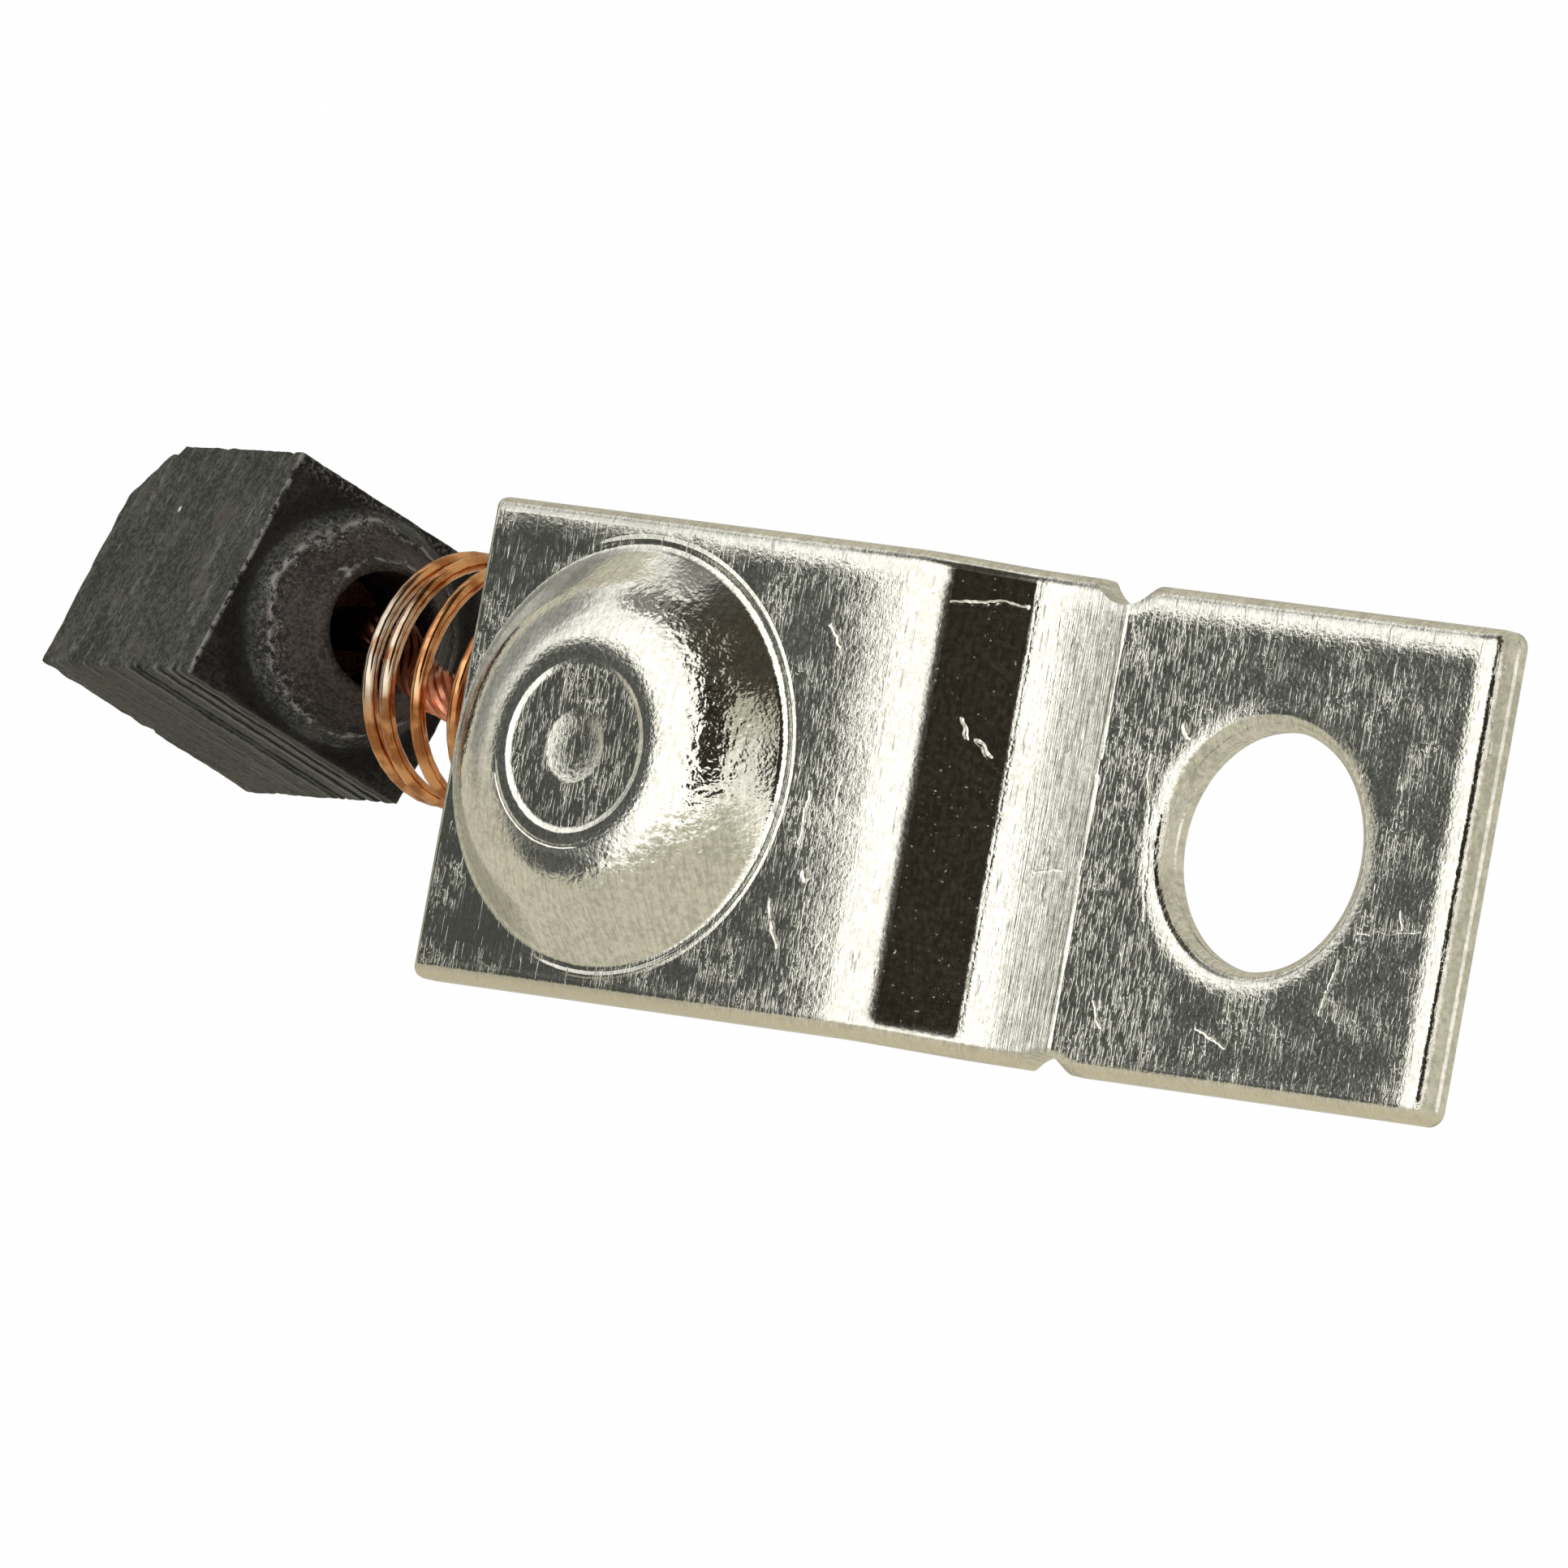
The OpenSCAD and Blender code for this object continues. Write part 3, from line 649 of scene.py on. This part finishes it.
# ---- Shunt lead -------------------------------------------------------------------------
# Bare copper braid, 0.9 mm thick: fine wires laid round each other. One end is welded under
# the dome, the other is tamped into the block, and the spring goes round it.
weld_spot = dome + Vector((0, 0, rise - sheet - 0.02))
dip = boss_tip + Vector((1.25, -0.95, -0.25))
dip_way = Vector((0.95, -0.3, 0.05)).normalized()
plug_h = 2.6
lead_end = boss_tip - (bore_deep - plug_h / 3) * out_of_boss
lead = list(bezier(weld_spot, weld_spot - Vector((0, 0, 3.4)), dip + 2.2 * dip_way, dip, 60))
lead += list(bezier(dip, dip - 0.7 * dip_way, boss_tip + 0.7 * out_of_boss, boss_tip, 20))[1:]
lead += [boss_tip.lerp(lead_end, i / 12) for i in range(1, 13)]
# Two layers of wires, laid opposite ways: radius, number, thickness and length of lay
strands = []
for layer_r, wires, strand_d, lay in ((0.36, 13, 0.178, 3.2), (0.17, 6, 0.2, -2.6)):
    for wire in range(wires):
        path, gone = [], 0
        for i, place in enumerate(lead):
            axis = (lead[min(i + 1, len(lead) - 1)] - lead[max(i - 1, 0)]).normalized()
            gone += (place - lead[max(i - 1, 0)]).length
            swing = 2 * pi * (wire / wires + gone / lay)
            path.append(swung(place, axis, layer_r, swing))
        strands.append(tube("strand", path, strand_d, 1))
bpy.ops.object.select_all(action="DESELECT")
for strand in strands:
    strand.select_set(True)
bpy.context.view_layer.objects.active = strands[0]
bpy.ops.object.join()
braid = bpy.context.object
braid.name = "copper_braid"
braid_finish, shader, spot = finish_for("bare_copper", 1)
bright = spot.noise(3.0, 2.0).fade(0.35, 0.65).mix((0.62, 0.22, 0.11), (0.9, 0.42, 0.27))
from_boss = spot.vector("DISTANCE", tuple(boss_tip), out="Value")
# Painted shade, partly real dirt: the braid darkens to dark brown within about 2 mm of the boss
# tip, where it runs into the hole
feed(shader, Base_Color=from_boss.fade(1.1, 2.2).mix((0.10, 0.03, 0.015), bright))
feed(shader, Roughness=0.22 + 0.2 * spot.noise(15.0, 2.0))
dress(braid, braid_finish, None, "shunt_lead")
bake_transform(braid)

# ---- Tamping plug -----------------------------------------------------------------------
# Copper powder, tamped hard round the end of the lead at the bottom of the hole.
plug_finish, shader, spot = finish_for("tamped_copper_powder", 0.6)
powder = spot.noise(14.0, 3.0, 0.7)
feed(shader, Base_Color=powder.fade(0.35, 0.65).mix((0.10, 0.045, 0.03), (0.33, 0.15, 0.09)))
feed(shader, Normal=powder.bump(0.6, reach=0.05))
shader.inputs["Roughness"].default_value = 0.7
dress(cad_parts["tamping_plug"], plug_finish, None)

# ---- Floor, lamps and world ---------------------------------------------------------------
# A white paper floor well below the part, and one broad lamp over its left shoulder. Bright
# metal shows what stands round it, so the room has cream walls, a lit ceiling, a grey opening
# that the flats look into and a dark one about the lens.
bpy.ops.object.select_all(action="DESELECT")
bpy.ops.mesh.primitive_plane_add(size=4, location=(0, 0, -0.06))
floor = bpy.context.object
floor.name = "floor"
floor_finish, paper, spot = finish_for("white_paper", 0)
paper.inputs["Base Color"].default_value = (0.86, 0.86, 0.84, 1)
paper.inputs["Roughness"].default_value = 0.8
white, cream = (1, 1, 1), (0.60, 0.565, 0.45)
seen = spot.make("LightPath", out="Is Camera Ray")
gloss = spot.make("LightPath", out="Is Glossy Ray")
glow = spot.make("Emission", None, {"Color": gloss.mix(white, cream), "Strength": 1.0})
both = spot.make("MixShader", None, {0: (seen * 0.98).most(gloss),
                                     1: Signal(spot.tree, paper.outputs[0]), 2: glow})
spot.tree.links.new(both.socket, spot.tree.nodes["Material Output"].inputs["Surface"])
floor.data.materials.append(floor_finish)

bpy.ops.object.light_add(type="SUN")
lamp = bpy.context.object
lamp.rotation_euler = Vector((-0.45, 0.25, 0.85)).to_track_quat("Z", "Y").to_euler()
lamp.data.energy = 1.7
lamp.data.angle = radians(35)
lamp.visible_glossy = False

world = bpy.data.worlds.new("studio")
bpy.context.scene.world = world
world.use_nodes = True
sky = Signal(world.node_tree)
back = world.node_tree.nodes["Background"]
look = sky.make("TexCoord", out="Generated")


def toward(way, inside, outside):
    """1 within the first angle of a direction, in degrees, falling to 0 at the second."""
    near = look.vector("DOT_PRODUCT", tuple(Vector(way).normalized()), out="Value")
    return near.fade(cos(radians(outside)), cos(radians(inside)))


# What bright metal sees: a white patch on the cream wall at the back left, the lit ceiling, a
# dim corner at the far left, the grey opening overhead and a window beyond the screw end
dy, dz = look.axes()[1:]
shine = toward((-0.64, 0.66, 0.25), 30, 48).mix(cream, (1.1, 1.09, 1.03))
shine = (dz.fade(0.55, 0.8) * dy.fade(-0.55, -0.2)).mix(shine, (1.45, 1.43, 1.34))
shine = (0.8 * toward((-0.93, 0.34, 0.12), 13, 30)).mix(shine, (0.17, 0.17, 0.155))
grey = toward((-0.66, 0.05, 0.75), 6, 16).most(toward((-0.64, -0.25, 0.72), 6, 17))
shine = grey.mix(shine, (0.085, 0.09, 0.082))
shine = toward((0.85, 0.05, 0.5), 10, 20).mix(shine, (1.05, 1.02, 0.93))
# The dark opening that the riser looks into, and what goes on from it past the dome
dark = toward((0.52, 0.14, 0.84), 15, 20).most(toward((0.45, 0.45, 0.77), 12, 17))
edge_of_dark = toward((0.35, 0.75, 0.55), 15, 20).most(toward((-0.02, 0.93, 0.35), 11, 20))
dark = dark.most(0.94 * edge_of_dark)
dark = dark.most(0.8 * toward((-0.4, 0.85, 0.3), 9, 19))
shine = dark.mix(shine, (0.026, 0.021, 0.014))
gloss = sky.make("LightPath", out="Is Glossy Ray")
seen = sky.make("LightPath", out="Is Camera Ray")
colour = seen.mix(gloss.mix((0.47, 0.47, 0.46), shine), white)
world.node_tree.links.new(colour.socket, back.inputs["Color"])
back.inputs["Strength"].default_value = 1.0

# ---- Camera -------------------------------------------------------------------------------
# A long lens, half a metre away, looking down past the screw end with the dome to the left.
to_right = Vector((0.7626, 0.1775, -0.6221))
to_top = Vector((-0.1028, 0.9827, 0.1544))
to_eye = Vector((0.6387, -0.0538, 0.7676))
eye = dome + 3.074 * to_right - 0.503 * to_top + 492 * to_eye
bpy.ops.object.camera_add()
camera = bpy.context.object
camera.rotation_mode = "QUATERNION"
camera.rotation_quaternion = Matrix((to_right, to_top, to_eye)).transposed().to_quaternion()
camera.location = eye * mm
camera.data.lens = 605
camera.data.clip_start, camera.data.clip_end = 0.05, 10
bpy.context.scene.camera = camera
bpy.context.scene.view_settings.view_transform = "Standard"

bpy.context.view_layer.update()
